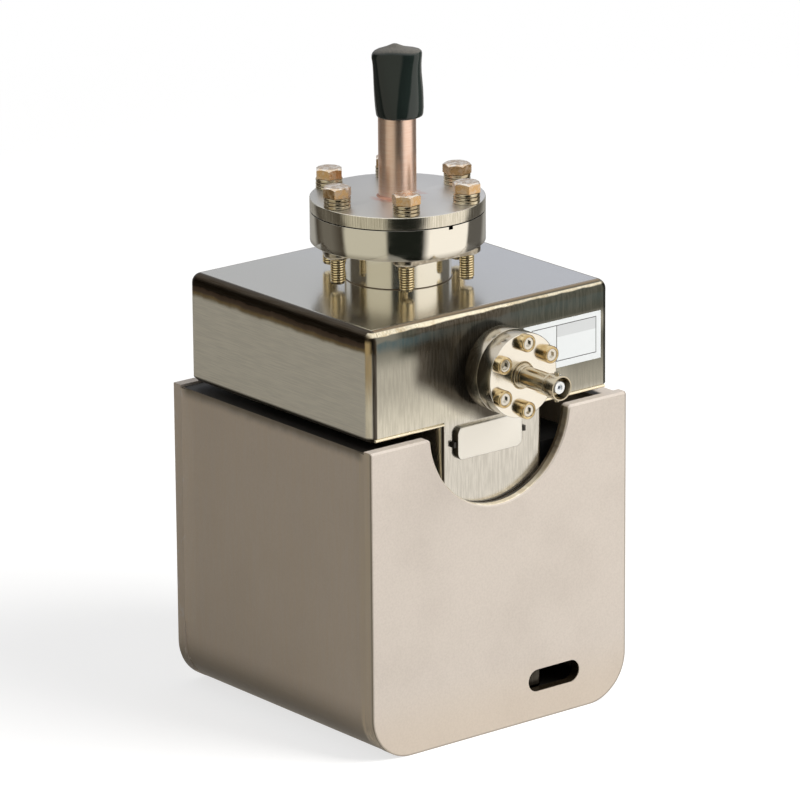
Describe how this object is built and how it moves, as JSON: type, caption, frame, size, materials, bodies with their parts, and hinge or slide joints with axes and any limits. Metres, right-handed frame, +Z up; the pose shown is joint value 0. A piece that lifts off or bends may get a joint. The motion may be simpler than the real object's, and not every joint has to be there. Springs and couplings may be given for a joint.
{
  "type": "ion pump",
  "caption": "Sputter ion pump: welded vessel hung in a U-shaped magnet housing, with a bolted flange, a capped pinch-off tube and a high-voltage connector.",
  "frame": {"origin": "centre of the magnet housing's base, on the surface that the pump stands on", "axes": "+Z up along the main port's axis, -Y towards the high-voltage connector, +X to the right seen from the connector's side"},
  "size_m": [0.129, 0.1625, 0.2668],
  "materials": {
    "housing_paint": "bead-blasted, warm beige",
    "magnet": "matt dark ferrite",
    "stainless_sheet": "brushed, with welding tints",
    "stainless_turned": "turned and polished",
    "copper": "drawn copper, slightly dull",
    "bolt_steel": "silver-plated, slightly golden",
    "spring_bronze": "dark bronze",
    "cap_rubber": "glossy black vinyl",
    "ceramic": "glazed white alumina",
    "titanium": "matt grey",
    "plate_metal": "pale satin",
    "dark_steel": "dark",
    "label_film": "matt white film"
  },
  "bodies": {
    "housing": {"yoke": "housing_paint", "front_panel": "housing_paint", "rear_panel": "housing_paint", "magnet_left": "magnet", "magnet_right": "magnet"},
    "vessel": {"chamber_shell": "stainless_sheet", "chamber_floor": "stainless_sheet", "pump_pocket": "stainless_sheet", "neck_tube": "stainless_turned", "port_flange": "stainless_turned", "port_gasket": "copper", "pinch_off_flange": "stainless_turned", "pinch_off_tube": "copper", "port_bolts": "bolt_steel", "spring_washers": "spring_bronze", "plate_nuts": "bolt_steel", "hv_stub_tube": "stainless_turned", "hv_port_flange": "stainless_turned", "hv_gasket": "copper", "hv_feedthrough_flange": "stainless_turned", "hv_screws": "bolt_steel", "hv_connector_shell": "stainless_turned", "hv_insulator": "ceramic", "hv_centre_contact": "stainless_turned", "hv_lead": "stainless_turned", "anode_cells": "stainless_sheet", "anode_band": "stainless_sheet", "cathode_left": "titanium", "cathode_right": "titanium", "element_bracket_front": "stainless_sheet", "element_bracket_rear": "stainless_sheet", "ceramic_standoffs": "ceramic", "sputter_shields": "stainless_sheet", "name_plate": "plate_metal", "name_plate_tabs": "dark_steel", "chamber_label": "label_film"},
    "cap": {"pinch_off_cap": "cap_rubber"}
  },
  "joints": [
    {"name": "vessel_lift", "type": "slide", "parent": "housing", "child": "vessel", "axis": [0, 0, 1], "range_m": [0, 0.12]},
    {"name": "cap_pull", "type": "slide", "parent": "vessel", "child": "cap", "axis": [0, 0, 1], "range_m": [0, 0.035]}
  ]
}
